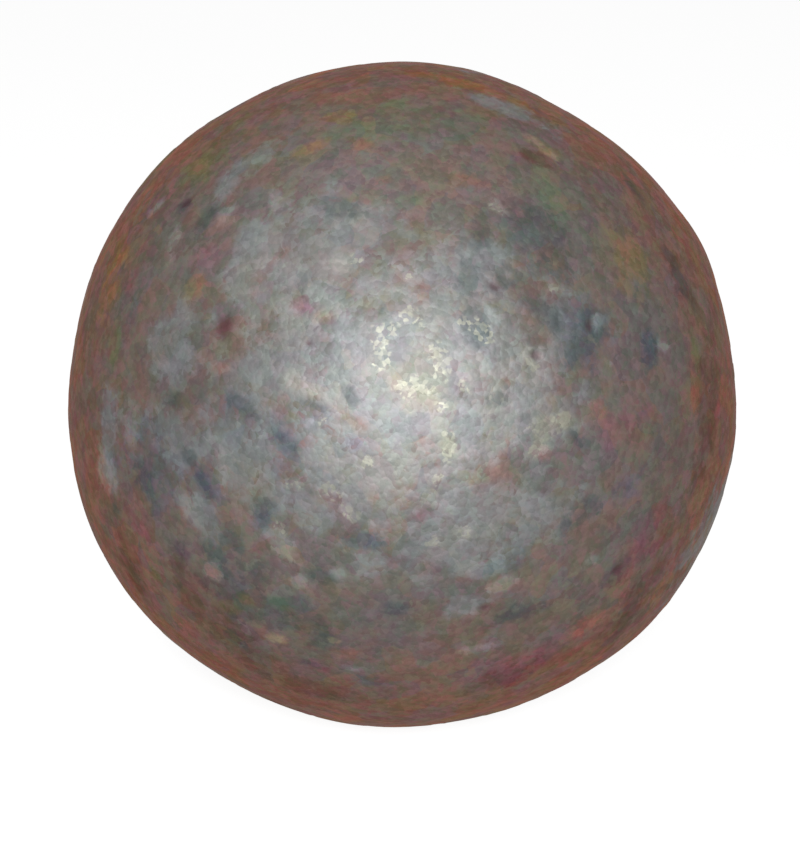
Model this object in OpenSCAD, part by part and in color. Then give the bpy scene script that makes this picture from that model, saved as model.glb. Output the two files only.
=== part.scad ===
// Steel ball, forged in one piece, +Z up, with its origin at the centre of the ball.
// A forged ball is never quite round: the dies leave broad, slightly crowned flats
// with low rounded lobes between them, and loose scale leaves small pits in the skin.
// The face that is turned to the front is at -Y.

/* [Ball] */
// Nominal diameter of the ball, between the lobes and the flats
nominal_d = 50; // [30:1:100]
// Height of the lobes above the nominal radius
lobe_rise = 0.25; // [0.1:0.05:0.5]

/* [Flats] */
// Extra radius of curvature of a flat's crown over that of the ball
crown_extra = 17; // [10:1:40]
// Depth of the lightest flats below the lobes
light_flat = 0.28; // [0.15:0.01:0.35]
// Depth of the middling flats below the lobes
middling_flat = 0.38; // [0.2:0.01:0.5]
// Depth of the heavy flats below the lobes
heavy_flat = 0.5; // [0.3:0.01:0.7]
// Depth of the heaviest flats below the lobes
heaviest_flat = 0.62; // [0.4:0.01:0.9]

/* [Pits] */
// Width of the mouth of a large pit
large_pit_w = 1.8; // [1.2:0.1:3]
// Depth of a large pit
large_pit_depth = 0.3; // [0.1:0.05:0.5]
// Width of the mouth of a small pit
small_pit_w = 1.1; // [0.7:0.1:1.8]
// Depth of a small pit
small_pit_depth = 0.2; // [0.1:0.05:0.3]

/* [Hidden] */
oxide_brown = [0.36, 0.31, 0.29];
$fn = 120;

// The blank ball reaches the tops of the lobes, and a flat is a ball of larger radius
lobe_r = nominal_d / 2 + lobe_rise;
crown_r = lobe_r + crown_extra;

// Places on the skin are [azimuth, elevation] in degrees as seen from the centre:
// azimuth runs from +X towards +Y, and elevation rises from the equator towards +Z
light_places = [
    [54, 73], [123, 73], [157, 59], [174, 32], [188, -4], [237, 35], [278, 53], [271, 16],
    [300, 0], [277, -20], [337, 34], [117, 3], [72, 14], [51, -16], [30, 12]
];
middling_places = [
    [358, 12], [11, 43], [216, -49], [247, -5], [311, 28], [225, 11], [326, -12],
    [256, -32], [139, -14], [90, -22], [64, 48], [20, -24], [128, 50], [163, -40]
];
heavy_places = [
    [182, 12], [231, -57], [263, -64], [318, -53], [104, 30], [118, -45], [152, 12]
];
heaviest_places = [[21, 57], [294, -62], [62, -48], [46, 26]];

// Each flat is [place, depth below the lobes]
flats = concat(
    [for (place = light_places) [place, light_flat]],
    [for (place = middling_places) [place, middling_flat]],
    [for (place = heavy_places) [place, heavy_flat]],
    [for (place = heaviest_places) [place, heaviest_flat]]
);

large_pit_places = [[235, 28], [285, -22], [290, 37], [148, 22], [80, -8], [10, -38]];
small_pit_places = [
    [296, 24], [233, 46], [313, -15], [259, -27], [229, 2], [262, 8], [306, 55],
    [338, 24], [195, 40], [170, -20], [125, 62], [45, 28], [100, -30], [350, -8]
];

// Unit vector from the centre towards a place
function direction(place) = [
    cos(place[1]) * cos(place[0]),
    cos(place[1]) * sin(place[0]),
    sin(place[1])
];

// How far a crown's own centre lies along its direction, which is behind the ball's centre
function crown_shift(flat) = lobe_r - flat[1] - crown_r;

// Distance from the ball's centre to one flat's crown, measured towards a place
function crown_reach(place, flat) =
    let (
        shift = crown_shift(flat),
        slant = direction(place) * direction(flat[0])
    )
    shift * slant + sqrt(crown_r * crown_r - shift * shift * (1 - slant * slant));

// Distance from the ball's centre to its skin, measured towards a place
function skin_reach(place) =
    min(concat([lobe_r], [for (flat = flats) crown_reach(place, flat)]));

// Radius of the round cutter whose cap has the given mouth and depth
function cutter_r(mouth_w, depth) = (mouth_w * mouth_w / 4 + depth * depth) / (2 * depth);

// Turns children so that their -X side looks towards a place
module face_outwards(place) {
    rotate([0, place[1], place[0] + 180])
        children();
}

// The round body that holds back one flat
module crown(flat) {
    face_outwards(flat[0])
        translate([-crown_shift(flat), 0, 0])
            sphere(r = crown_r);
}

// The plain ball before any blow, turned so that its poles come under the heaviest blows
module round_blank() {
    rotate([0, 90 - heaviest_places[0][1], heaviest_places[0][0]])
        sphere(r = lobe_r);
}

// The ball after its first blows, each of which leaves one flat
module forged_blank(blows) {
    if (blows == 0)
        round_blank();
    else
        intersection() {
            forged_blank(blows - 1);
            crown(flats[blows - 1]);
        }
}

// Cuts one pit of the given mouth and depth into the skin
module pit_cutter(place, mouth_w, depth) {
    r = cutter_r(mouth_w, depth);
    face_outwards(place)
        translate([-(skin_reach(place) + r - depth), 0, 0])
            sphere(r = r, $fn = 40);
}

module ball() {
    color(oxide_brown)
        difference() {
            forged_blank(len(flats));
            for (place = large_pit_places)
                pit_cutter(place, large_pit_w, large_pit_depth);
            for (place = small_pit_places)
                pit_cutter(place, small_pit_w, small_pit_depth);
        }
}

ball();
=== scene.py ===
# %% [markdown]
# # A forged steel ball
# A ball like this is cut from hot bar and hammered round between two dies. It comes out
# nearly round, with broad flats, soft lobes and a dark oxide skin that flakes, wears bright
# on the high spots and rusts in the low ones. The solid below is the true size and form.
# These cells dress it: a fine skin is laid over the solid, the scale is built up on it,
# and one material colours the oxide, the worn steel and the rust.

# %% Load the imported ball
import math
import random
import bmesh
import bpy
from mathutils import Matrix, Vector, kdtree, noise
from mathutils.bvhtree import BVHTree


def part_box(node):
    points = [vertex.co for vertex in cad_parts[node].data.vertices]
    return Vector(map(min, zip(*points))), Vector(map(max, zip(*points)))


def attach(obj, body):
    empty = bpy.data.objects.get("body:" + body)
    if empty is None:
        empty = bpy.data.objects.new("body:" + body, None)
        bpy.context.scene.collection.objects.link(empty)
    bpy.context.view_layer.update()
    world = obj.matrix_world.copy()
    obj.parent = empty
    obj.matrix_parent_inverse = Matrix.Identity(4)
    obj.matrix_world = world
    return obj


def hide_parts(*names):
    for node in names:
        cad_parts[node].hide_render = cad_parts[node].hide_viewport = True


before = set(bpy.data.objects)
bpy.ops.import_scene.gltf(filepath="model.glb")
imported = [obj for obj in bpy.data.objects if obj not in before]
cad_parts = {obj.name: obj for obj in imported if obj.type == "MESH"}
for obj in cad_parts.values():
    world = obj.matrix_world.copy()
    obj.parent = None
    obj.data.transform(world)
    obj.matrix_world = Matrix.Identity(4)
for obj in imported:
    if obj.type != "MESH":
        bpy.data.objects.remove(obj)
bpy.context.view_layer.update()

mm = 0.001
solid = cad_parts["ball"]
low_corner, high_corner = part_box("ball")
centre = Vector((0, 0, 0))
ball_r = sum(high_corner - low_corner) / 6
print("The solid is", [round(side / mm, 2) for side in high_corner - low_corner], "mm")
print("Mean radius of its box:", round(ball_r / mm, 2), "mm")

# %% [markdown]
# ## The face of the ball
# A ball has no front, so one is chosen: the face that looks at the camera, from a little
# above. Three unit vectors describe it, right and up along the picture and out towards
# the camera. Marks on the face are then placed by two sizes in millimetres, as if they
# were measured with a rule held flat in front of the ball.

# %% Directions of the face
view_rise = math.radians(20)
face_right = Vector((1, 0, 0))
face_up = Vector((0, math.sin(view_rise), math.cos(view_rise)))
face_out = Vector((0, -math.cos(view_rise), math.sin(view_rise)))
nominal_r = 25 * mm


def on_the_face(right, up):
    """Unit direction of the place that lies right and up of the middle of the face, in mm."""
    across = Vector((right, up)) * mm / nominal_r
    depth = math.sqrt(max(0.0, 1 - across.length_squared))
    return across.x * face_right + across.y * face_up + depth * face_out


print("Middle of the face:", tuple(round(value, 3) for value in on_the_face(0, 0)))

# %% [markdown]
# ## A fine, even skin
# The solid's own mesh has long thin triangles, which can't carry small relief. An
# icosphere has nearly equal triangles all over and no poles, so it makes a better skin.
# It starts as twenty triangles, each edge is cut many times, and then every point slides
# out along its own ray until it meets the solid. This wraps the skin on the real form,
# flats and pits included. It stays under two hundred thousand triangles.

# %% Cut a fine icosphere
edge_cuts = 98
skin = bmesh.new()
bmesh.ops.create_icosphere(skin, subdivisions=1, radius=1.0)
bmesh.ops.subdivide_edges(skin, edges=skin.edges[:], cuts=edge_cuts, use_grid_fill=True)
print("Skin:", len(skin.verts), "points and", len(skin.faces), "triangles")

# %% Wrap it on the solid
merge_gap = 0.0001 * mm
target = bmesh.new()
target.from_mesh(solid.data)
bmesh.ops.remove_doubles(target, verts=target.verts, dist=merge_gap)
target_tree = BVHTree.FromBMesh(target)
for vert in skin.verts:
    hit = target_tree.ray_cast(centre, vert.co.normalized())
    vert.co = hit[0]
solid_volume = target.calc_volume()
target.free()
mean_spacing = sum(edge.calc_length() for edge in skin.edges) / len(skin.edges)
print("Spacing:", round(mean_spacing / mm, 3), "mm")
print("Volume against the solid:", round(skin.calc_volume() / solid_volume, 4))

# %% [markdown]
# ## Soft creases, sharp pits
# Hot steel has no crisp creases, so the skin is smoothed over a millimetre or two, which
# also takes away the flat facets of the solid's mesh. Smoothing would fill the small pits
# too. The depth that each point lost is therefore kept after the first passes, and what is
# deeper than a facet could ever be is pushed back in later. Smoothing also shrinks a round
# form a little, so the skin is grown again until it holds as much steel as the solid.

# %% Smooth the skin and keep the pits
first_passes = 110
later_passes = 90
facet_depth = 0.035 * mm


def smooth_skin(passes):
    """Moves every point halfway to the middle of its neighbours, again and again."""
    for number in range(passes):
        bmesh.ops.smooth_vert(
            skin, verts=skin.verts, factor=0.5, use_axis_x=True, use_axis_y=True, use_axis_z=True
        )


wrapped_reach = {vert.index: vert.co.length for vert in skin.verts}
smooth_skin(first_passes)
pit_depth = {}
for vert in skin.verts:
    lost = vert.co.length - wrapped_reach[vert.index]
    pit_depth[vert.index] = max(0.0, lost - facet_depth)
print("Deepest pit kept:", round(max(pit_depth.values()) / mm, 2), "mm")

# %% Soften the creases further and give back the volume
smooth_skin(later_passes)
growth = (solid_volume / skin.calc_volume()) ** (1 / 3)
bmesh.ops.scale(skin, verts=skin.verts, vec=(growth, growth, growth))
print("Grown by", round((growth - 1) * ball_r / mm, 3), "mm all round")

# %% [markdown]
# ## Marks on the skin
# Parts of the ball are worn to grey steel and parts are stained brown. Over the middle of
# the face the worn grey is also a painted highlight. Small spots are rubbed bright, or keep
# dark slate scale. Thin oxide tints others green, plum, straw or blue, and rust, bright
# flakes and deep holes lie among them. Every mark is laid on as a patch: an oval on the skin
# with a ragged edge, which is written on the points as an attribute. The relief and the
# material both read it later, so a flake that looks bright also stands proud. The patches of
# the face are listed one by one, and the rest of the ball gets patches of the same kinds
# from a seeded random draw.

# %% Broad marks of the face, as right, up, length, width in mm and turn in degrees
# Over the middle of the face these worn patches are also a painted highlight: a lighter, neutral
# grey that widens the lamp's bright spot
worn_and_highlight_patches = [
    (-5.5, 9.5, 16.0, 10.0, 30), (-9.8, 9.5, 12.0, 6.0, 58), (-10.5, 16.0, 7.0, 3.0, 30),
    (1.0, 1.0, 30.0, 25.0, 20), (-8.5, 2.0, 13.0, 11.0, 60), (8.0, -1.0, 13.0, 7.0, -20),
    (4.0, -9.0, 17.0, 10.0, 15), (4.6, -14.4, 5.0, 3.0, 10), (-11.0, -4.5, 13.0, 8.0, -45),
    (-3.0, -5.0, 14.0, 8.0, -15), (9.0, -8.0, 9.0, 6.0, 20), (4.5, 8.0, 10.0, 6.0, 30),
    (-11.8, 14.6, 5.0, 2.6, 50), (-6.4, -7.8, 9.0, 5.0, -35), (-20.5, -3.0, 9.0, 4.0, 85),
    (-15.5, 3.0, 9.0, 6.0, 80), (-15.5, -3.0, 8.0, 6.0, -60), (-13.5, -8.5, 6.0, 3.6, -40),
    (7.5, 20.0, 9.0, 4.0, -15)
]
stain_patches = [
    (-12.5, -16.5, 17.0, 7.0, -42), (-19.0, -12.5, 9.0, 4.0, -55), (21.8, -1.0, 15.0, 5.0, 88),
    (16.5, -14.5, 12.0, 5.0, 45), (-6.0, -21.0, 10.0, 4.0, -12), (19.5, 8.5, 8.0, 4.0, -60),
    (9.5, 16.3, 4.0, 2.0, -10), (7.0, -20.0, 10.0, 4.0, 12)
]
print("Broad patches:", len(worn_and_highlight_patches) + len(stain_patches))

# %% Light and dark marks of the face, by the same five sizes
bare_patches = [
    (-6.0, 5.5, 7.0, 4.0, 20), (-9.3, 7.2, 11.0, 6.0, 80), (-8.6, 13.0, 4.0, 1.8, 80),
    (-12.1, 12.3, 2.6, 2.0, 40), (-15.6, 10.5, 4.0, 1.6, 75), (-8.6, -16.9, 2.2, 1.6, 0),
    (6.4, 12.8, 2.0, 1.4, -60), (-4.2, 8.6, 2.6, 1.2, -20), (-6.0, 7.0, 2.4, 1.4, -30),
    (6.6, 12.6, 2.4, 1.3, -30), (-18.7, -2.4, 5.4, 3.2, -75), (-20.8, -5.2, 6.0, 3.6, -70),
    (-12.0, -4.2, 4.4, 3.0, -60), (-14.8, -7.3, 4.0, 2.8, -60), (-8.0, -10.2, 4.4, 3.2, -60),
    (-7.0, -6.2, 2.4, 1.8, 0), (8.9, -3.2, 4.0, 3.2, 0), (4.3, 0.4, 2.6, 2.0, -60),
    (-9.8, -5.6, 1.9, 1.6, 60), (9.0, -2.7, 4.2, 3.0, 60), (6.8, -13.0, 3.4, 1.8, 20),
    (13.4, 4.7, 1.9, 1.3, 60), (18.2, 3.2, 2.0, 1.4, 20), (-6.3, 0.2, 4.0, 2.4, -30),
    (11.2, 6.8, 2.4, 1.4, 0), (5.8, -11.7, 5.2, 2.4, 15), (4.2, -9.4, 1.7, 1.4, 0),
    (2.2, -10.0, 1.8, 1.2, 30), (-13.0, -12.3, 2.6, 2.0, 0), (-7.0, -12.9, 1.7, 1.5, 0),
    (13.2, -11.5, 1.8, 1.5, 0), (-9.4, -2.8, 1.4, 1.0, 0), (8.6, 2.4, 4.6, 1.6, -45),
    (-4.8, -6.7, 2.2, 1.6, -10), (-3.6, -8.1, 2.8, 1.1, -30), (-3.6, -19.2, 2.6, 1.2, 0),
    (5.5, -17.6, 3.6, 1.7, 0), (-4.4, -12.1, 1.8, 1.5, 0), (-4.6, -17.0, 1.8, 1.2, 0),
    (-17.2, 13.2, 2.6, 1.7, 30), (10.0, 17.0, 4.4, 1.3, -35)
]
slate_patches = [
    (-11.5, -13.5, 12.0, 6.5, -35), (9.3, 10.3, 9.0, 5.0, -35), (-6.5, -16.0, 9.0, 5.0, -20),
    (9.2, 11.0, 7.6, 5.0, -30), (7.4, 7.6, 3.6, 2.4, -20), (12.9, 3.8, 6.2, 3.6, 80),
    (17.0, 2.8, 4.4, 2.8, 75), (5.3, 11.2, 4.8, 2.0, 80), (9.2, 5.6, 4.8, 2.4, -40),
    (4.3, 7.8, 3.8, 2.8, 85), (4.8, 4.3, 3.8, 2.4, -70), (-1.3, 5.6, 1.9, 1.2, 70),
    (-17.8, -5.9, 3.8, 2.8, -60), (-3.4, -0.4, 2.4, 1.4, -60), (-6.0, -0.6, 3.6, 1.6, -30),
    (-0.4, -14.6, 3.0, 1.8, 0), (-2.5, -10.0, 5.2, 1.9, -8), (-9.4, -7.9, 3.2, 2.0, -60),
    (-15.0, -10.9, 2.8, 2.2, -50), (-9.6, -12.4, 4.6, 3.2, -60), (-7.0, -15.0, 7.0, 3.0, -20),
    (-15.5, -0.5, 3.2, 2.2, 0), (15.0, -12.2, 4.2, 2.7, 30), (8.0, -15.2, 6.0, 2.3, 0),
    (12.6, -8.1, 4.8, 2.8, 20), (-5.4, -12.4, 3.0, 2.0, 0), (19.5, 8.6, 5.6, 2.4, -60),
    (16.4, 14.6, 3.2, 1.6, -40), (12.2, -3.1, 3.2, 1.6, -30), (6.3, -0.5, 2.6, 1.4, 10),
    (-14.4, -4.6, 2.6, 1.4, -55), (-13.4, -6.1, 3.4, 1.6, -55), (-3.9, 12.6, 4.2, 2.4, -10),
    (-13.4, 12.2, 3.4, 2.2, 40), (-11.6, -10.1, 3.0, 2.0, -40), (-11.5, -17.1, 3.0, 2.0, -30),
    (-6.2, -19.0, 2.4, 1.6, 0), (-20.3, -7.7, 2.6, 1.8, -60), (12.0, 2.7, 3.6, 2.6, 60),
    (-7.8, -3.4, 4.0, 2.0, -40), (-10.8, -0.9, 4.6, 1.6, -35), (-15.0, 13.2, 1.8, 1.4, 0)
]
print("Light and dark patches:", len(bare_patches) + len(slate_patches))

# %% Green and plum marks of the face
green_patches = [
    (-1.0, 18.5, 16.0, 5.0, 0), (-13.0, 17.0, 10.0, 6.0, 40), (10.5, 13.5, 10.0, 6.5, -30),
    (0.0, 19.8, 7.0, 2.6, 0), (4.8, 19.4, 3.4, 1.7, 0), (-12.5, 18.4, 7.0, 3.6, 30),
    (-9.8, 16.2, 2.8, 1.5, 0), (8.6, 13.8, 3.4, 2.2, 0), (11.2, 12.4, 4.2, 3.3, -30),
    (15.2, 13.8, 3.0, 2.0, 0), (-10.6, 8.0, 2.8, 1.6, 60), (20.6, 3.2, 4.6, 2.3, -65),
    (17.0, -2.4, 3.2, 2.1, 0), (3.2, -3.6, 2.4, 2.2, 80), (5.0, -5.8, 3.0, 1.6, 10),
    (0.0, -8.4, 2.0, 1.3, 0), (-20.0, 3.4, 4.2, 2.1, 80), (-10.0, -6.8, 2.6, 1.6, -60),
    (-17.0, -12.8, 2.9, 2.0, 0), (-8.2, -14.2, 3.4, 2.1, -20), (0.8, 13.0, 5.0, 2.6, 0)
]
plum_patches = [
    (9.0, -18.5, 12.0, 5.0, 20), (17.0, -10.0, 10.0, 6.0, 40), (15.5, -2.0, 7.0, 4.0, 0),
    (-12.0, 4.6, 2.8, 2.2, 70), (-13.4, 9.0, 5.2, 3.6, 40), (5.7, -14.7, 2.6, 1.4, 0),
    (8.2, -20.0, 4.4, 2.2, 15), (6.2, -18.6, 5.0, 2.0, 0), (11.4, -18.5, 4.4, 1.8, 12),
    (17.8, -10.8, 4.4, 2.1, 25), (22.4, -0.8, 3.2, 2.2, 85), (13.9, -3.2, 3.4, 2.0, -40),
    (-18.5, -9.0, 4.4, 2.1, -35), (-9.6, -10.5, 2.8, 1.9, 60), (-18.6, 8.0, 3.2, 2.1, 60),
    (1.2, -8.2, 2.0, 1.5, 0), (8.2, 16.2, 2.4, 1.7, 0), (-6.3, 5.6, 3.2, 1.7, -20),
    (-6.0, -19.0, 3.4, 2.1, -20), (7.6, 12.0, 2.6, 1.7, 0), (15.6, -14.2, 3.6, 2.4, 40),
    (-15.0, -10.9, 2.6, 2.0, -50)
]
print("Green and plum patches:", len(green_patches) + len(plum_patches))

# %% Straw, rust and blue marks of the face
straw_patches = [
    (-20.3, 8.0, 9.0, 4.0, 80), (16.2, 9.0, 8.0, 5.0, -50), (-4.4, 19.2, 4.4, 2.4, 0),
    (9.4, -2.4, 3.2, 2.6, 60), (11.0, -2.0, 2.4, 1.6, 30), (-20.2, 9.4, 5.4, 2.0, 78),
    (-14.2, 7.3, 3.3, 2.4, 70), (16.0, 9.2, 3.4, 2.1, -40), (15.8, 7.3, 3.2, 1.8, 0),
    (-11.8, -14.6, 2.4, 1.8, 0), (-5.0, 5.0, 2.5, 1.5, 0), (-6.0, 17.0, 4.2, 1.8, 20),
    (3.1, -3.4, 1.6, 2.2, 0), (10.0, 17.0, 4.6, 1.8, -35), (6.0, 21.6, 14.0, 3.0, -15),
    (1.5, 0.8, 7.0, 6.0, -30), (-8.6, -16.9, 2.4, 1.8, 0), (-4.6, -17.0, 2.0, 1.4, 0),
    (-10.8, -14.1, 2.0, 1.6, 0)
]
rust_patches = [
    (-3.0, 17.2, 3.6, 2.0, -30), (-1.5, 14.4, 2.0, 1.5, 0), (4.8, 14.5, 4.8, 1.9, 0),
    (8.3, 5.1, 3.0, 1.9, -20), (9.6, 3.8, 2.2, 1.7, 0), (9.3, -4.0, 2.9, 1.6, -20),
    (13.3, -1.1, 2.8, 1.8, 0), (-16.6, 2.8, 2.7, 1.9, -60), (-12.0, 1.7, 2.4, 1.3, 0),
    (2.0, -11.2, 3.4, 2.6, 45), (-3.8, -18.0, 3.9, 2.6, 20), (-6.6, -16.6, 3.4, 2.3, 30),
    (13.0, -16.0, 4.9, 2.6, 10), (20.6, -0.5, 3.8, 1.9, 88), (-13.0, -12.2, 2.0, 1.6, 0)
]
blue_patches = [
    (-17.0, -5.0, 10.0, 8.0, -30), (-9.0, -3.0, 12.0, 6.0, -30), (12.5, 4.5, 8.0, 6.0, 60),
    (-17.6, -5.6, 4.8, 3.6, -30), (-20.2, -4.8, 3.4, 2.6, -60), (-13.2, -6.2, 4.0, 2.1, -30),
    (-17.7, 13.6, 5.4, 2.2, 50), (13.0, 3.2, 5.4, 3.2, 80), (16.8, 2.8, 3.9, 2.7, 80),
    (9.4, 8.4, 4.4, 2.7, 0), (-10.4, -0.8, 2.9, 1.8, 0), (-2.8, -3.4, 3.6, 2.2, 0),
    (-18.4, 6.0, 3.4, 1.9, 80), (-9.4, -8.4, 3.0, 1.9, 60), (15.4, -6.4, 4.4, 3.1, 20),
    (-2.6, -9.8, 5.4, 1.8, 0), (-6.2, -1.2, 5.4, 3.0, -30), (-2.4, -20.2, 5.0, 1.7, 0),
    (7.0, -11.5, 5.4, 2.7, 10)
]
warm_and_blue = [straw_patches, rust_patches, blue_patches]
print("Straw, rust and blue patches:", sum(len(patches) for patches in warm_and_blue))

# %% Bright flakes and deep holes of the face
flake_patches = [
    (-1.3, 3.1, 3.6, 2.2, 75), (0.1, 5.2, 1.8, 1.5, 70), (1.3, 4.5, 1.4, 0.9, 0),
    (2.7, 2.2, 4.2, 2.0, -65), (0.5, 0.3, 2.4, 1.5, 10), (2.7, 1.3, 2.4, 1.8, -60),
    (5.3, 4.0, 1.9, 1.4, -40), (4.1, 4.4, 1.2, 1.0, 0), (4.2, 0.5, 1.9, 1.4, -60),
    (2.8, -0.9, 1.2, 1.0, 0), (1.9, 0.2, 1.5, 0.9, 0), (9.0, -2.3, 1.6, 2.4, 0),
    (-7.1, -6.2, 1.8, 1.3, 0), (-4.8, -6.7, 2.2, 1.3, -20), (-3.6, -8.1, 1.7, 1.0, -40),
    (8.8, -3.8, 1.6, 1.0, 0), (8.6, 2.0, 1.5, 0.9, -40), (3.1, -3.4, 2.6, 1.4, 80),
    (10.8, -1.9, 2.0, 1.2, 30), (-2.2, -4.7, 1.2, 1.0, 0), (-5.1, -2.0, 1.0, 0.9, 0),
    (2.2, -5.9, 1.4, 0.8, 40), (-3.0, 9.0, 1.0, 0.9, 0), (0.4, 7.8, 1.2, 0.6, 0),
    (6.6, 12.7, 1.6, 1.0, -20), (10.5, 7.1, 1.4, 1.0, 0), (-9.4, 8.9, 1.2, 0.8, 0),
    (-8.2, -9.3, 1.5, 1.1, -60), (4.3, -9.4, 1.3, 1.1, 0), (2.3, -10.0, 1.4, 1.0, 0)
]
hole_patches = [
    (-11.9, 4.6, 2.2, 1.6, 70), (6.3, 7.1, 1.2, 0.7, -20), (5.6, -14.8, 1.6, 1.0, 0),
    (8.9, 2.4, 1.0, 0.7, 0), (15.0, -12.3, 1.4, 1.0, 0), (-15.0, 13.3, 1.4, 1.0, 0),
    (12.9, 4.6, 1.2, 0.8, 80), (-6.2, 3.3, 0.8, 0.6, 0)
]
face_patches = {
    "worn": worn_and_highlight_patches, "stain": stain_patches, "bare": bare_patches, "slate": slate_patches,
    "green": green_patches, "plum": plum_patches, "straw": straw_patches,
    "rust": rust_patches, "blue": blue_patches, "flake": flake_patches, "hole": hole_patches
}
print("Hand-placed patches:", sum(len(patches) for patches in face_patches.values()))

# %% Find points by their place
skin_finder = kdtree.KDTree(len(skin.verts))
for vert in skin.verts:
    skin_finder.insert(vert.co, vert.index)
skin_finder.balance()
skin.verts.ensure_lookup_table()
print("Points that can be found:", len(skin.verts))

# %% [markdown]
# ## A ragged edge
# A patch would end in a clean oval, as if it were painted through a stencil. Noise shifts
# its edge in and out instead. In noise.fractal, the three numbers after the place say how
# fast the finer ripples fade, how much finer each is than the last, and how many there are.

# %% Lay a patch on the points
ripple_scale = 0.5
whole_within = 0.25
gone_beyond = 1.1
search_share = 0.8
print("A patch is whole to", whole_within, "and gone from", gone_beyond, "of its half-width")


def smooth_step(low, high, value):
    """0 below low, 1 above high, and an even slope between them."""
    share = min(1.0, max(0.0, (value - low) / (high - low)))
    return share * share * (3 - 2 * share)


def lay_patch(layer, outwards, length, width, turn, ragged):
    """Writes an oval with a ragged edge on a layer. Sizes are in mm, turn in degrees."""
    across = (face_right - face_right.dot(outwards) * outwards).normalized()
    upwards = outwards.cross(across)
    long_way = math.cos(math.radians(turn)) * across + math.sin(math.radians(turn)) * upwards
    short_way = outwards.cross(long_way)
    middle = skin_finder.find(outwards * ball_r)[0]
    reach = max(length, width) * search_share * mm
    for place, index, gap in skin_finder.find_range(middle, reach):
        offset = (place - middle) / mm
        along = offset.dot(long_way) / (length / 2)
        aside = offset.dot(short_way) / (width / 2)
        ripple = noise.fractal(place / mm * ripple_scale, 0.8, 2.0, 4)
        distance = math.hypot(along, aside) + ragged * ripple
        cover = 1 - smooth_step(whole_within, gone_beyond, distance)
        vert = skin.verts[index]
        vert[layer] = max(vert[layer], cover)


# %% Lay the patches of the face
broad_ragged = 0.4
layers = {name: skin.verts.layers.float.new(name) for name in face_patches}
for name, patches in face_patches.items():
    for right, up, length, width, turn in patches:
        lay_patch(layers[name], on_the_face(right, up), length, width, turn, broad_ragged)
    covered = sum(vert[layers[name]] for vert in skin.verts) / len(skin.verts)
    print("Share of the skin under", name, "patches:", round(covered, 4))

# %% [markdown]
# ## Browner oxide and a painted edge sheen around the face
# The oxide is browner all round the worn face, where nothing has rubbed it. This ring is
# also a painted sheen: its reddish brown stands in for the tint that a low-angle reflection
# gives the outline, as the ball is seen from the camera. Patches are too small for so wide a
# ring, so the share of brown comes from the angle to the middle of the face, and noise makes
# its edge wander. It fades again past the edge, so that the hidden side keeps the plain
# grey-brown oxide. Facing is 1 at the middle of the face, 0 a quarter turn from it, and -1
# at the back.

# %% A ring of browner oxide, partly a painted edge sheen
ring_and_edge_sheen_layer = skin.verts.layers.float.new("ring")
ring_starts, ring_whole = 0.78, 0.30
ring_fades, ring_gone = 0.18, -0.35
ring_wander = 0.10
wander_scale = 0.12
for vert in skin.verts:
    facing = vert.co.normalized().dot(face_out)
    facing += ring_wander * noise.fractal(vert.co / mm * wander_scale, 0.8, 2.0, 4)
    outside = 1 - smooth_step(ring_whole, ring_starts, facing)
    before_the_back = smooth_step(ring_gone, ring_fades, facing)
    vert[ring_and_edge_sheen_layer] = outside * before_the_back
ring_and_edge_sheen_cover = sum(vert[ring_and_edge_sheen_layer] for vert in skin.verts) / len(skin.verts)
print("Share of the skin in the ring:", round(ring_and_edge_sheen_cover, 3))

# %% Patches for the rest of the ball
draw = random.Random(41)
face_edge = 0.22
fine_ragged = 0.8
narrowest, widest = 0.35, 0.8
# How many of each kind, and their shortest and longest in mm
spread_patches = {
    "worn": (30, 11.0, 23.0), "stain": (24, 7.0, 16.0), "bare": (110, 1.4, 6.0),
    "slate": (80, 2.0, 7.5), "green": (50, 2.0, 8.0), "plum": (50, 1.6, 6.0),
    "straw": (34, 1.6, 5.5), "rust": (50, 1.6, 5.0), "blue": (50, 1.8, 5.4),
    "flake": (80, 0.8, 3.6), "hole": (30, 0.8, 2.4)
}
laid = 0
for name, (count, shortest, longest) in spread_patches.items():
    ragged = broad_ragged if name in ("worn", "stain") else fine_ragged
    for number in range(count):
        outwards = Vector([draw.gauss(0, 1) for axis in range(3)]).normalized()
        length = draw.uniform(shortest, longest)
        width = length * draw.uniform(narrowest, widest)
        turn = draw.uniform(0, 180)
        if outwards.dot(face_out) < face_edge:
            lay_patch(layers[name], outwards, length, width, turn, ragged)
            laid += 1
drawn = sum(count for count, shortest, longest in spread_patches.values())
print("Patches laid away from the face:", laid, "of", drawn)

# %% [markdown]
# ## Relief
# Several sizes of relief make the surface. Slow swells are what the hammer left. Oxide
# plates stand a few hundredths of a millimetre above the steel where they haven't flaked
# off, and their edges are ragged steps. Small grit roughens it all, the bare spots least.
# Pits and holes go in, and bright flakes stand proud. Each is a height in millimetres, and
# every point moves by their sum along its own outward ray. Noise vectors start from the
# clock unless they are given a seed, so they get one, and every run makes the same plates.

# %% Heights of the relief, in mm
swell_height = 0.03
plate_height = 0.030
grit_height = 0.008
flake_height = 0.012
hole_depth = 0.12
wear_depth = 0.01
grit_worn_off = 0.7
print("Plates stand", plate_height, "mm above the steel, and holes go", hole_depth, "mm deep")

# %% Swells, plates and grit
swell_scale = 0.13
plate_scale = 0.3
bend_scale, bend_reach = 0.35, 0.9
step_foot, step_top = -0.04, 0.06
grit_scale = 0.95
plate_seed = 41
noise.seed_set(plate_seed)


def swell(place):
    """Slow rise and fall, four to eight millimetres across."""
    return noise.fractal(place * swell_scale, 1.0, 2.0, 2)


def plate(place):
    """1 on a plate of oxide, 0 where it has flaked off, with a ragged step between."""
    bend = noise.noise_vector(place * bend_scale) * bend_reach
    level = noise.fractal((place + bend) * plate_scale, 0.9, 2.1, 5)
    return smooth_step(step_foot, step_top, level)


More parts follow.
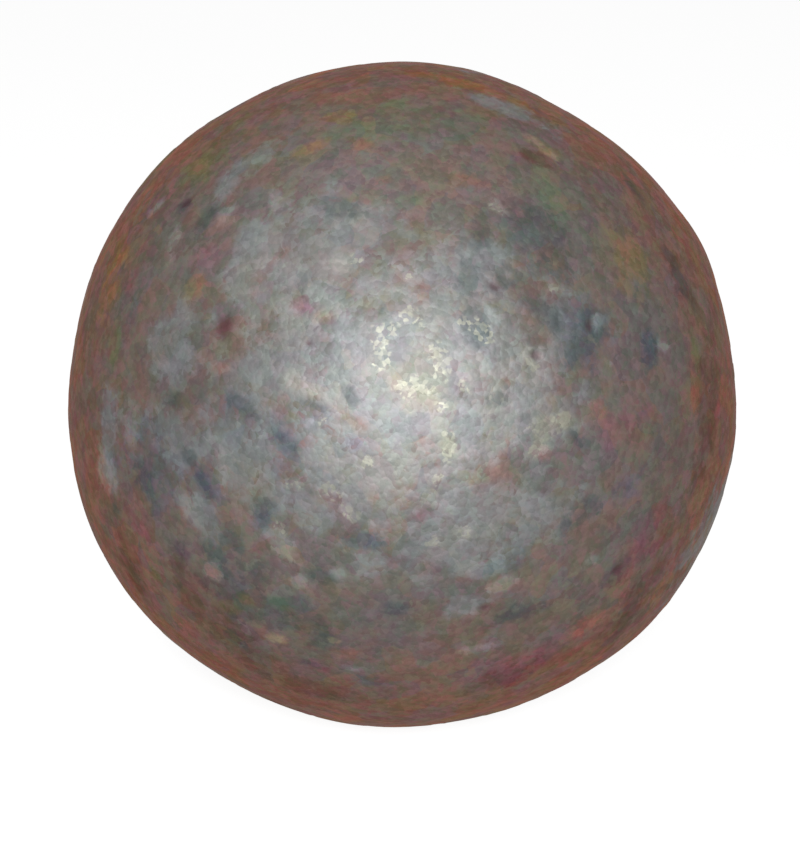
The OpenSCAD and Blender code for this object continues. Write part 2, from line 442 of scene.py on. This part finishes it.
def grit(place):
    """Fine roughness, a millimetre across and less."""
    return noise.fractal(place * grit_scale, 0.6, 2.0, 2)


print("Swells are", round(1 / swell_scale, 1), "mm across, and grit", round(1 / grit_scale, 1))

# %% Move every point by its relief
heights = []
plated = 0
for vert in skin.verts:
    place = vert.co / mm
    on_plate = plate(place)
    plated += on_plate
    bare, flake, hole = vert[layers["bare"]], vert[layers["flake"]], vert[layers["hole"]]
    height = swell_height * swell(place)
    height += plate_height * (on_plate - 0.5) * (1 - bare)
    height += grit_height * grit(place) * (1 - grit_worn_off * bare)
    height += flake_height * flake - hole_depth * hole - wear_depth * bare
    height -= pit_depth[vert.index] / mm
    vert.co += vert.co.normalized() * height * mm
    heights.append(height)
print("Share of the skin on plates:", round(plated / len(skin.verts), 2))
print("Relief from", round(min(heights), 3), "to", round(max(heights), 3), "mm")

# %% [markdown]
# ## Inside the solid's box
# The solid's box is the true size of the ball, and relief could lift a point a little past
# a side of it. Cutting such points off would leave a small hard flat. So a point that nears
# a side is slowed down, and comes closer to it without ever passing it.

# %% Keep every point inside the box
soft_rim = 0.06 * mm


def held_within(value, low, high):
    """The value, eased so that it nears a limit and never passes it."""
    if value > high - soft_rim:
        return high - soft_rim * math.exp((high - soft_rim - value) / soft_rim)
    if value < low + soft_rim:
        return low + soft_rim * math.exp((value - low - soft_rim) / soft_rim)
    return value


eased_points = 0
for vert in skin.verts:
    free = vert.co.copy()
    for axis in range(3):
        vert.co[axis] = held_within(free[axis], low_corner[axis], high_corner[axis])
    eased_points += vert.co != free
print("Points eased back:", eased_points)

# %% Write the skin as a piece
skin.normal_update()
for face in skin.faces:
    face.smooth = True
skin_mesh = bpy.data.meshes.new("ball_skin")
skin.to_mesh(skin_mesh)
skin.free()
ball_skin = bpy.data.objects.new("ball_skin", skin_mesh)
bpy.context.scene.collection.objects.link(ball_skin)
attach(ball_skin, "root")
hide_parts("ball")
print("Skin box:", [round(side / mm, 2) for side in ball_skin.dimensions], "mm")

# %% [markdown]
# ## The oxide, the worn steel and the rust
# One material holds all the finishes. The oxide is a warm grey, and the attributes on the
# points turn it to worn steel, brown stain, slate scale or bare steel. The worn grey over the
# middle of the face is also a painted highlight, a lighter and neutral grey where the lamp's
# bright spot lies. Tints then change the hue and hardly the lightness: mauve, olive, brown or
# cool by noise in the ball's own coordinates, and green, plum, straw, blue or rust by the
# patches. Most finishes have a roughness of their own, and only rust is less than all metal.
# A small bump adds grain that is finer than the points can carry.

# %% Helpers for material nodes
skin_material = bpy.data.materials.new("forged_steel_skin")
skin_material.use_nodes = True
nodes = skin_material.node_tree.nodes
links = skin_material.node_tree.links
nodes.clear()


def add(kind, **settings):
    """Adds a node, and sets what it is given by name."""
    made = nodes.new(kind)
    for setting, value in settings.items():
        setattr(made, setting, value)
    return made


def feed(socket, source):
    """Gives a socket a number, a colour or another node's output."""
    if isinstance(source, bpy.types.NodeSocket):
        links.new(source, socket)
    else:
        socket.default_value = source


def calculate(operation, *sources, clamp=True):
    """The result of a sum on numbers or outputs, kept between 0 and 1 if clamped."""
    made = add("ShaderNodeMath", operation=operation, use_clamp=clamp)
    for socket, source in zip(made.inputs, sources):
        feed(socket, source)
    return made.outputs[0]


# A Mix node has its number sockets at 2 and 3, and its colour sockets at 6 and 7
def mix_colours(share, first, second, blend="MIX"):
    """A colour between two others, or their blend, by a share from 0 to 1."""
    made = add("ShaderNodeMix", data_type="RGBA", blend_type=blend)
    feed(made.inputs[0], share)
    feed(made.inputs[6], first)
    feed(made.inputs[7], second)
    return made.outputs[2]


def times(first, second):
    """One colour multiplied by another."""
    return mix_colours(1.0, first, second, "MULTIPLY")


def mix_numbers(share, first, second):
    """A number between two others, by a share from 0 to 1."""
    made = add("ShaderNodeMix", data_type="FLOAT")
    feed(made.inputs[0], share)
    feed(made.inputs[2], first)
    feed(made.inputs[3], second)
    return made.outputs[0]


print("A new material:", skin_material.name)

# %% Noise in millimetres of the ball
coordinates = add("ShaderNodeTexCoord")
in_mm = add("ShaderNodeMapping")
in_mm.inputs["Scale"].default_value = (1 / mm, 1 / mm, 1 / mm)
links.new(coordinates.outputs["Object"], in_mm.inputs["Vector"])


def noise_of(size, detail, offset, fineness=0.5):
    """Noise whose spots are about this many millimetres wide, with finer ones inside them."""
    shifted = add("ShaderNodeVectorMath", operation="ADD")
    links.new(in_mm.outputs["Vector"], shifted.inputs[0])
    shifted.inputs[1].default_value = (offset, offset, offset)
    made = add("ShaderNodeTexNoise")
    made.inputs["Scale"].default_value = 1 / size
    made.inputs["Detail"].default_value = detail
    made.inputs["Roughness"].default_value = fineness
    links.new(shifted.outputs[0], made.inputs["Vector"])
    return made.outputs["Fac"]


print("One step of the noise is a millimetre, so it is scaled by", round(1 / mm))

# %% Helpers for numbers and attributes
def sharpen(source, low, high):
    """Stretches a narrow part of a number's range to 0 to 1."""
    made = add("ShaderNodeMapRange", interpolation_type="SMOOTHSTEP")
    made.inputs["From Min"].default_value = low
    made.inputs["From Max"].default_value = high
    links.new(source, made.inputs["Value"])
    return made.outputs["Result"]


def painted(name):
    """An attribute of the skin's points."""
    return add("ShaderNodeAttribute", attribute_name=name).outputs["Fac"]


def with_shares(start, *shares):
    """A number with others added to it, each by its own weight."""
    total = start
    for source, weight in shares:
        total = calculate("MULTIPLY_ADD", source, weight, total, clamp=False)
    return total


print("Nodes so far:", len(nodes))

# %% [markdown]
# ## Grains
# Oxide scale is made of small packed crystals, and it breaks along them. A Voronoi texture
# gives such packed cells, with one random colour for each. The place is bent by noise
# first, so that the cells come out uneven. The three parts of the random colour serve as
# three separate numbers: how light a grain is, whether a patch picks it, and its tint.

# %% Grains of three sizes
bends_per_grain = 0.7


def grains_of(size, wander, offset):
    """Grains about this many mm wide: their light, pick, tint and distance to the middle."""
    shifted = add("ShaderNodeVectorMath", operation="ADD")
    links.new(in_mm.outputs["Vector"], shifted.inputs[0])
    shifted.inputs[1].default_value = (offset, offset, offset)
    bend = add("ShaderNodeTexNoise")
    bend.inputs["Scale"].default_value = bends_per_grain / size
    links.new(shifted.outputs[0], bend.inputs["Vector"])
    bent = add("ShaderNodeVectorMath", operation="MULTIPLY_ADD")
    links.new(bend.outputs["Color"], bent.inputs[0])
    bent.inputs[1].default_value = (wander, wander, wander)
    links.new(shifted.outputs[0], bent.inputs[2])
    made = add("ShaderNodeTexVoronoi", feature="F1")
    made.inputs["Scale"].default_value = 1 / size
    links.new(bent.outputs[0], made.inputs["Vector"])
    parts = add("ShaderNodeSeparateColor")
    links.new(made.outputs["Color"], parts.inputs[0])
    return {
        "light": parts.outputs[0], "pick": parts.outputs[1], "tint": parts.outputs[2],
        "to_middle": made.outputs["Distance"]
    }


fine_grains = grains_of(size=0.38, wander=0.4, offset=7)
mid_grains = grains_of(size=0.85, wander=0.9, offset=31)
large_grains = grains_of(size=2.1, wander=2.4, offset=57)
print("Nodes with the grains:", len(nodes))

# %% [markdown]
# ## Broken edges
# Oxide doesn't fade out softly, it breaks along its grains. A patch's attribute can only
# run smoothly from point to point, so noise and whole grains are added to it. What they
# add on average is taken off again, and a little more, so that the grains outside a patch
# hardly take part.

# %% Break up an attribute
small_noise = noise_of(size=0.9, detail=4, offset=43, fineness=0.7)
broad_noise = noise_of(size=2.6, detail=5, offset=13, fineness=0.7)
small_shake = 1.2
broad_shake = 0.8
grain_shake = 0.35
edge_starts, edge_ends = 0.1, 1.1


def broken_up(name, most, edge_noise=small_noise, shake=small_shake):
    """An attribute broken up by noise and by whole grains, from 0 to most."""
    shaken = with_shares(
        painted(name), (edge_noise, shake),
        (mid_grains["pick"], grain_shake), (fine_grains["pick"], grain_shake)
    )
    mean_shake = shake / 2 + grain_shake
    edge = sharpen(shaken, mean_shake + edge_starts, mean_shake + edge_ends)
    return calculate("MULTIPLY", edge, most)


print("An unmarked place has", small_shake / 2 + grain_shake, "added to it on average")

# %% Colours of the finishes
oxide_grey = (0.144, 0.123, 0.112, 1)
# Ring brown is browner oxide, and it is also a painted reddish sheen on the outline as seen from
# the camera
ring_brown_and_edge_sheen = (0.184, 0.112, 0.094, 1)
# Worn grey is worn steel, and over the middle of the face it is also a painted highlight
worn_grey_and_painted_highlight = (0.176, 0.180, 0.180, 1)
stain_brown = (0.118, 0.074, 0.060, 1)
slate_grey = (0.070, 0.083, 0.084, 1)
bare_steel = (0.240, 0.236, 0.226, 1)
flake_cream = (0.265, 0.265, 0.215, 1)
hole_plum = (0.070, 0.026, 0.034, 1)
print("Oxide", oxide_grey[:3], "and worn steel", worn_grey_and_painted_highlight[:3])

# %% Tints of the thin oxide, which change the hue and hardly the lightness
no_tint = (1, 1, 1, 1)
mauve_tint = (1.12, 0.93, 1.01, 1)
olive_tint = (0.92, 1.06, 0.94, 1)
brown_tint = (1.08, 1.00, 0.91, 1)
cool_tint = (0.92, 1.00, 1.10, 1)
green_tint = (0.90, 1.09, 0.89, 1)
plum_tint = (1.15, 0.86, 0.98, 1)
straw_tint = (1.20, 1.10, 0.80, 1)
rust_tint = (1.19, 0.91, 0.83, 1)
blue_tint = (0.84, 0.95, 1.13, 1)
print("Rust multiplies red by", rust_tint[0], "and blue by", rust_tint[2])

# %% Shares of the finishes
# The worn share also carries the painted highlight on the middle of the face
worn_and_highlight_share = broken_up("worn", most=1.0, edge_noise=broad_noise, shake=broad_shake)
stain_share = broken_up("stain", most=0.72, edge_noise=broad_noise, shake=broad_shake)
bare_share = broken_up("bare", most=0.50)
slate_share = broken_up("slate", most=0.62)
rust_share = broken_up("rust", most=0.90)
# The ring's share also carries the painted edge sheen
ring_and_edge_sheen_share = painted("ring")
print("Nodes with the shares:", len(nodes))

# %% [markdown]
# ## Bright flakes
# Where oxide has just come off, small facets of clean steel catch the light one by one. A
# bright blot would look like paint. So the smallest grains are picked singly, most of them
# in the middle of a flake patch and few towards its edge, and each has a brightness of
# its own.

# %% Pick the flakes grain by grain
glint_grains = grains_of(size=0.30, wander=0.15, offset=83)
flake_pull, worn_pull = 0.75, 0.07
picked_from, picked_whole = 1.0, 1.2
dimmest, brightest = 0.25, 0.65
pick = with_shares(glint_grains["pick"], (painted("flake"), flake_pull), (worn_and_highlight_share, worn_pull))
flake_strength = mix_numbers(glint_grains["light"], dimmest, brightest)
flake_share = calculate("MULTIPLY", sharpen(pick, picked_from, picked_whole), flake_strength)
print("Picks over", picked_from - flake_pull, "show in the middle of a flake patch")

# %% [markdown]
# ## Hue and lightness
# A thin film of oxide takes its hue from its thickness, while a grain looks light or dark
# by how it lies to the light. One doesn't follow the other, so the two are mixed apart, and
# each is then multiplied into the colour. Worn steel has little film left, so its hue is
# calmed, and over the middle of the face this calmer grey is also part of the painted
# highlight. The ring's film is thick, and the ring also holds the painted edge sheen, so its
# hue is partly multiplied by itself to deepen it.

# %% Mix the tints
tint_most = 0.9
hue_noise = noise_of(size=2.0, detail=4, offset=37, fineness=0.7)
hue_turn = with_shares(hue_noise, (mid_grains["tint"], 0.35), (fine_grains["tint"], 0.25))
hue = mix_colours(sharpen(hue_turn, low=0.50, high=1.10), mauve_tint, olive_tint)
cool_noise = noise_of(size=2.8, detail=4, offset=71, fineness=0.7)
coolness = with_shares(cool_noise, (large_grains["tint"], 0.3))
hue = times(hue, mix_colours(sharpen(coolness, low=0.42, high=0.88), brown_tint, cool_tint))
patch_tints = {
    "green": green_tint, "plum": plum_tint, "straw": straw_tint, "blue": blue_tint
}
for name, tint in patch_tints.items():
    hue = times(hue, mix_colours(broken_up(name, most=tint_most), no_tint, tint))
hue = times(hue, mix_colours(rust_share, no_tint, rust_tint))
print("Nodes with the tints:", len(nodes))

# %% Calm the hue on worn steel and the painted highlight, and deepen it in the ring and its painted edge sheen
calm_on_worn_and_highlight = 0.65
deep_in_ring_and_edge_sheen = 0.35
hue = mix_colours(calculate("MULTIPLY", worn_and_highlight_share, calm_on_worn_and_highlight), hue, no_tint)
hue = mix_colours(calculate("MULTIPLY", ring_and_edge_sheen_share, deep_in_ring_and_edge_sheen), hue, times(hue, hue))
print("Worn steel loses", calm_on_worn_and_highlight, "of its hue")

# %% Mix the lightness of the grains
light_grain = (1.18, 1.18, 1.18, 1)
dark_grain = (0.83, 0.83, 0.83, 1)
cloud = noise_of(size=1.3, detail=4, offset=5, fineness=0.75)
lightness = with_shares(
    0.0, (cloud, 0.65), (fine_grains["light"], 0.22),
    (mid_grains["light"], 0.16), (large_grains["light"], 0.16)
)
grain_tone = mix_colours(sharpen(lightness, low=0.32, high=0.87), dark_grain, light_grain)
print("Grains run from", dark_grain[0], "to", light_grain[0], "times the colour")

# %% Mix the colour
hole_most = 0.55
finish_colours = [
    (ring_and_edge_sheen_share, ring_brown_and_edge_sheen), (worn_and_highlight_share, worn_grey_and_painted_highlight), (stain_share, stain_brown),
    (slate_share, slate_grey), (bare_share, bare_steel)
]
colour = oxide_grey
for share, finish_colour in finish_colours:
    colour = mix_colours(share, colour, finish_colour)
colour = times(colour, hue)
colour = mix_colours(flake_share, colour, flake_cream)
colour = times(colour, grain_tone)
colour = mix_colours(calculate("MULTIPLY", painted("hole"), hole_most), colour, hole_plum)
print("Nodes with the colour:", len(nodes))

# %% [markdown]
# ## Gloss
# Forged skin is dull. It is duller where it rusts or stains, and a little shinier where it
# is rubbed. A roughness over 0.6 spreads a lamp's reflection into one broad, soft bright
# spot. The smallest grains are under half a millimetre wide, which is too fine for the
# skin's points, so a small bump makes them stand out. On a metal, Specular Tint colours
# what it reflects at a low angle, and here it makes the outline darker and browner.

# %% Mix the gloss
dullest_grain, shiniest_grain = 0.67, 0.60
finish_roughness = [
    (worn_and_highlight_share, 0.62), (stain_share, 0.68), (bare_share, 0.58), (rust_share, 0.67),
    (flake_share, 0.54)
]
roughness = mix_numbers(fine_grains["tint"], dullest_grain, shiniest_grain)
for share, finish_level in finish_roughness:
    roughness = mix_numbers(share, roughness, finish_level)
rust_metal = 0.7
metal = mix_numbers(rust_share, 1.0, rust_metal)
print("Grains have a roughness from", shiniest_grain, "to", dullest_grain)

# %% Grains as a small bump
bump_depth = 0.016 * mm
pitting = 1.5
grain_top = calculate("SUBTRACT", 1.0, fine_grains["to_middle"], clamp=False)
dents = noise_of(size=0.9, detail=2, offset=53)
grain_height = with_shares(grain_top, (dents, pitting))
grain_bump = add("ShaderNodeBump")
grain_bump.inputs["Strength"].default_value = 1.0
grain_bump.inputs["Distance"].default_value = bump_depth
feed(grain_bump.inputs["Height"], grain_height)
print("Bump:", bump_depth / mm, "mm")

# %% Join them in one shader
grazing_tint = (0.48, 0.35, 0.29, 1)
specular_level = 0.2
shader = add("ShaderNodeBsdfPrincipled")
feed(shader.inputs["Base Color"], colour)
feed(shader.inputs["Roughness"], roughness)
feed(shader.inputs["Metallic"], metal)
feed(shader.inputs["Normal"], grain_bump.outputs["Normal"])
shader.inputs["Specular Tint"].default_value = grazing_tint
shader.inputs["Specular IOR Level"].default_value = specular_level
output = add("ShaderNodeOutputMaterial")
links.new(shader.outputs["BSDF"], output.inputs["Surface"])
ball_skin.data.materials.append(skin_material)
print("Material nodes:", len(nodes))

# %% [markdown]
# ## A pale floor under soft light
# A plain floor lets the ball be judged by itself. It lies at the bottom of the ball's box.
# It and the world are white to the camera and in reflections only, through Light Path, so
# that the ball isn't lit harder to get a white picture. Part of the floor's white is a
# surface that takes light, so it still shows a soft shadow, and the rest is a glow.

# %% Floor
scene = bpy.context.scene
floor_width = 1600 * mm
floor_z = low_corner.z
floor_grey = (0.7, 0.7, 0.7, 1)
shadow_grey = (0.30, 0.30, 0.30, 1)
floor_glow = 0.88
floor_form = bmesh.new()
bmesh.ops.create_grid(floor_form, x_segments=1, y_segments=1, size=floor_width / 2)
bmesh.ops.translate(floor_form, verts=floor_form.verts, vec=(0, 0, floor_z))
floor_mesh = bpy.data.meshes.new("floor")
floor_form.to_mesh(floor_mesh)
floor_form.free()
floor = bpy.data.objects.new("floor", floor_mesh)
scene.collection.objects.link(floor)
print("Floor at", round(floor_z / mm, 2), "mm")


# %% White to the camera and in reflections
def seen_directly(tree):
    """1 for rays from the camera and for those in reflections and glass, 0 for the rest."""
    path = tree.nodes.new("ShaderNodeLightPath")
    share = path.outputs["Is Camera Ray"]
    for name in ("Is Glossy Ray", "Is Transmission Ray"):
        larger = tree.nodes.new("ShaderNodeMath")
        larger.operation = "MAXIMUM"
        tree.links.new(share, larger.inputs[0])
        tree.links.new(path.outputs[name], larger.inputs[1])
        share = larger.outputs[0]
    return share


# %% Floor finish
floor_material = bpy.data.materials.new("pale_floor")
floor_material.use_nodes = True
floor_tree = floor_material.node_tree
floor_tree.nodes.clear()
plain = floor_tree.nodes.new("ShaderNodeBsdfDiffuse")
plain.inputs["Color"].default_value = floor_grey
shaded = floor_tree.nodes.new("ShaderNodeBsdfDiffuse")
shaded.inputs["Color"].default_value = shadow_grey
glow = floor_tree.nodes.new("ShaderNodeEmission")
glow.inputs["Strength"].default_value = floor_glow
bright = floor_tree.nodes.new("ShaderNodeAddShader")
floor_tree.links.new(shaded.outputs[0], bright.inputs[0])
floor_tree.links.new(glow.outputs[0], bright.inputs[1])
either = floor_tree.nodes.new("ShaderNodeMixShader")
floor_tree.links.new(seen_directly(floor_tree), either.inputs[0])
floor_tree.links.new(plain.outputs[0], either.inputs[1])
floor_tree.links.new(bright.outputs[0], either.inputs[2])
floor_output = floor_tree.nodes.new("ShaderNodeOutputMaterial")
floor_tree.links.new(either.outputs[0], floor_output.inputs["Surface"])
floor.data.materials.append(floor_material)
print("Floor nodes:", len(floor_tree.nodes))

# %% World
world = bpy.data.worlds.new("studio")
scene.world = world
world.use_nodes = True
world_tree = world.node_tree
world_tree.nodes.clear()
room_light = 0.15
light_when_seen = 1.0
white = (1, 1, 1, 1)
strength = world_tree.nodes.new("ShaderNodeMix")
strength.data_type = "FLOAT"
strength.inputs[2].default_value = room_light
strength.inputs[3].default_value = light_when_seen
world_tree.links.new(seen_directly(world_tree), strength.inputs[0])
sky = world_tree.nodes.new("ShaderNodeBackground")
sky.inputs["Color"].default_value = white
world_tree.links.new(strength.outputs[0], sky.inputs["Strength"])
world_output = world_tree.nodes.new("ShaderNodeOutputWorld")
world_tree.links.new(sky.outputs[0], world_output.inputs["Surface"])
print("Room light:", room_light, "and seen directly:", light_when_seen)

# %% [markdown]
# ## Camera and lamps
# A long lens shows the ball with little perspective. The camera's distance comes from how
# large the ball is in the picture. The main lamp is a soft disc behind the camera, a little
# above it and to the right, so the bright spot sits near the middle of the face and fades
# evenly to the edge. A second, wide lamp hangs overhead and gives the floor its soft shadow.

# %% Camera
picture_height = 862
picture_width = 800
ball_r_px = 333.8
ball_x_px, ball_y_px = 401.1, 396.9
lens = 120
sensor = 36
nearest_seen = 10 * mm
focal_px = lens / sensor * picture_height
camera_distance = nominal_r / math.sin(math.atan(ball_r_px / focal_px))
px_at_ball = camera_distance / focal_px
aim = face_right * (picture_width / 2 - ball_x_px) * px_at_ball
aim += face_up * (ball_y_px - picture_height / 2) * px_at_ball
print("Camera distance:", round(camera_distance / mm, 1), "mm")


def turned_to(looking_along, place):
    """A transform at a place that looks along a direction, upright in the picture."""
    turn = Matrix((face_right, face_up, -looking_along)).transposed().to_4x4()
    return Matrix.Translation(place) @ turn


camera_data = bpy.data.cameras.new("camera")
camera_data.lens = lens
camera_data.sensor_width = sensor
camera_data.clip_start = nearest_seen
camera = bpy.data.objects.new("camera", camera_data)
scene.collection.objects.link(camera)
camera.matrix_world = turned_to(-face_out, aim + face_out * camera_distance)
scene.camera = camera

# %% Lamps
def add_lamp(name, place, width, power):
    """A soft round lamp at a place, turned to the ball."""
    lamp_data = bpy.data.lights.new(name, "AREA")
    lamp_data.shape = "DISK"
    lamp_data.size = width
    lamp_data.energy = power
    lamp = bpy.data.objects.new(name, lamp_data)
    turn = place.to_track_quat("Z", "Y").to_matrix().to_4x4()
    lamp.matrix_world = Matrix.Translation(place) @ turn
    scene.collection.objects.link(lamp)
    print(name, "at", [round(value / mm) for value in place], "mm, power", power, "W")


lamp_reach = 300 * mm
lamp_up = 22 * mm
lamp_right = 4.5 * mm
main_place = face_out * lamp_reach + face_up * lamp_up + face_right * lamp_right
main_width, main_power = 70 * mm, 1.04
top_place = Vector((-80, -60, 420)) * mm
top_width, top_power = 300 * mm, 0.35
add_lamp("main_lamp", main_place, main_width, main_power)
add_lamp("top_lamp", top_place, top_width, top_power)

# %% Colour settings
# Standard shows each colour as it was mixed, with no look of film laid over it
scene.view_settings.view_transform = "Standard"
print("View transform:", scene.view_settings.view_transform)
